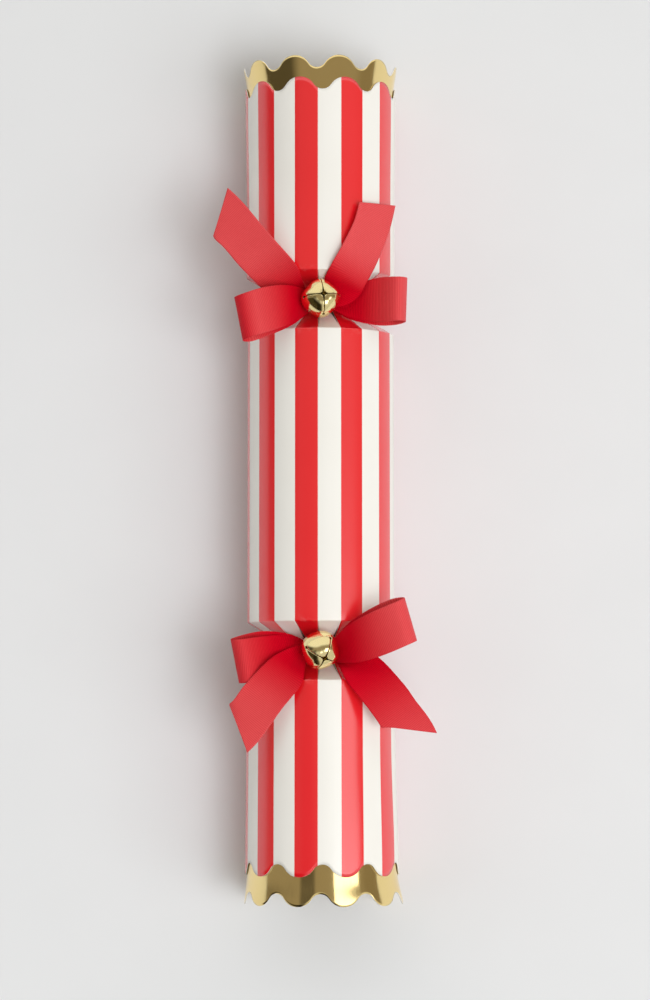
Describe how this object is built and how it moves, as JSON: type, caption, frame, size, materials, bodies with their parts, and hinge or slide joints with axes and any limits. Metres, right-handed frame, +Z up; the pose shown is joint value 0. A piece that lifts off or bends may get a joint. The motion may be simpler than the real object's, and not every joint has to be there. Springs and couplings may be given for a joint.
{
  "type": "christmas cracker",
  "caption": "Striped paper party cracker with scalloped gold-lined ends, petal-folded chokes, ribbon bows and jingle bells; its ends pull away from the filled barrel on a snap.",
  "frame": {"origin": "middle of the barrel's pressed seam, on the surface the cracker lies on", "axes": "+Y along the cracker towards its upper end in the picture, +Z up from the seam to the bows, +X to the picture's right"},
  "size_m": [0.0801, 0.3055, 0.0634],
  "materials": {
    "striped_paper": "glossy printed paper, red and cream stripes",
    "gold_card": "polished gold foil on card",
    "red_ribbon": "red grosgrain ribbon, fine cross ribs",
    "bell_brass": "polished, gold-coloured",
    "pellet_steel": "plain steel",
    "grey_card": "plain grey card",
    "snap_card": "plain buff card",
    "charge_coat": "dull grey coating",
    "abrasive_coat": "gritty brown coating",
    "sleeve_paper": "plain paper",
    "crown_tissue": "thin tissue paper",
    "motto_paper": "plain paper",
    "top_wood": "turned pale wood, waxed"
  },
  "bodies": {
    "barrel": {"barrel_wrap": "striped_paper", "barrel_core_tube": "grey_card", "paper_crown": "crown_tissue", "motto_slip": "motto_paper", "spinning_top": "top_wood"},
    "upper_end": {"upper_end_wrap": "striped_paper", "upper_gold_liner": "gold_card", "upper_snap_strip": "snap_card", "upper_neck_tie": "red_ribbon", "upper_knot": "red_ribbon", "upper_left_loop": "red_ribbon", "upper_right_loop": "red_ribbon", "upper_left_tail": "red_ribbon", "upper_right_tail": "red_ribbon", "snap_charge_patch": "charge_coat"},
    "lower_end": {"lower_end_wrap": "striped_paper", "lower_gold_liner": "gold_card", "lower_snap_strip": "snap_card", "lower_neck_tie": "red_ribbon", "lower_knot": "red_ribbon", "lower_left_loop": "red_ribbon", "lower_right_loop": "red_ribbon", "lower_left_tail": "red_ribbon", "lower_right_tail": "red_ribbon", "snap_abrasive_patch": "abrasive_coat", "snap_sleeve": "sleeve_paper"},
    "upper_bell": {"upper_bell_shell": "bell_brass", "upper_bell_loop": "bell_brass"},
    "upper_pellet": {"upper_bell_pellet": "pellet_steel"},
    "lower_bell": {"lower_bell_shell": "bell_brass", "lower_bell_loop": "bell_brass"},
    "lower_pellet": {"lower_bell_pellet": "pellet_steel"}
  },
  "joints": [
    {"name": "upper_end_pull", "type": "slide", "parent": "barrel", "child": "upper_end", "axis": [0, 1, 0], "range_m": [0, 0.1]},
    {"name": "lower_end_pull", "type": "slide", "parent": "barrel", "child": "lower_end", "axis": [0, -1, 0], "range_m": [0, 0.1]},
    {"name": "upper_bell_swing", "type": "hinge", "parent": "upper_end", "child": "upper_bell", "pos_m": [0, 0.063, 0.0442], "axis": [1, 0, 0], "range_deg": [-8, 10]},
    {"name": "upper_pellet_rattle", "type": "slide", "parent": "upper_bell", "child": "upper_pellet", "axis": [0, 0, 1], "range_m": [0, 0.0068]},
    {"name": "lower_bell_swing", "type": "hinge", "parent": "lower_end", "child": "lower_bell", "pos_m": [0, -0.063, 0.0442], "axis": [1, 0, 0], "range_deg": [-10, 10]},
    {"name": "lower_pellet_rattle", "type": "slide", "parent": "lower_bell", "child": "lower_pellet", "axis": [0, 0, 1], "range_m": [0, 0.0068]}
  ]
}
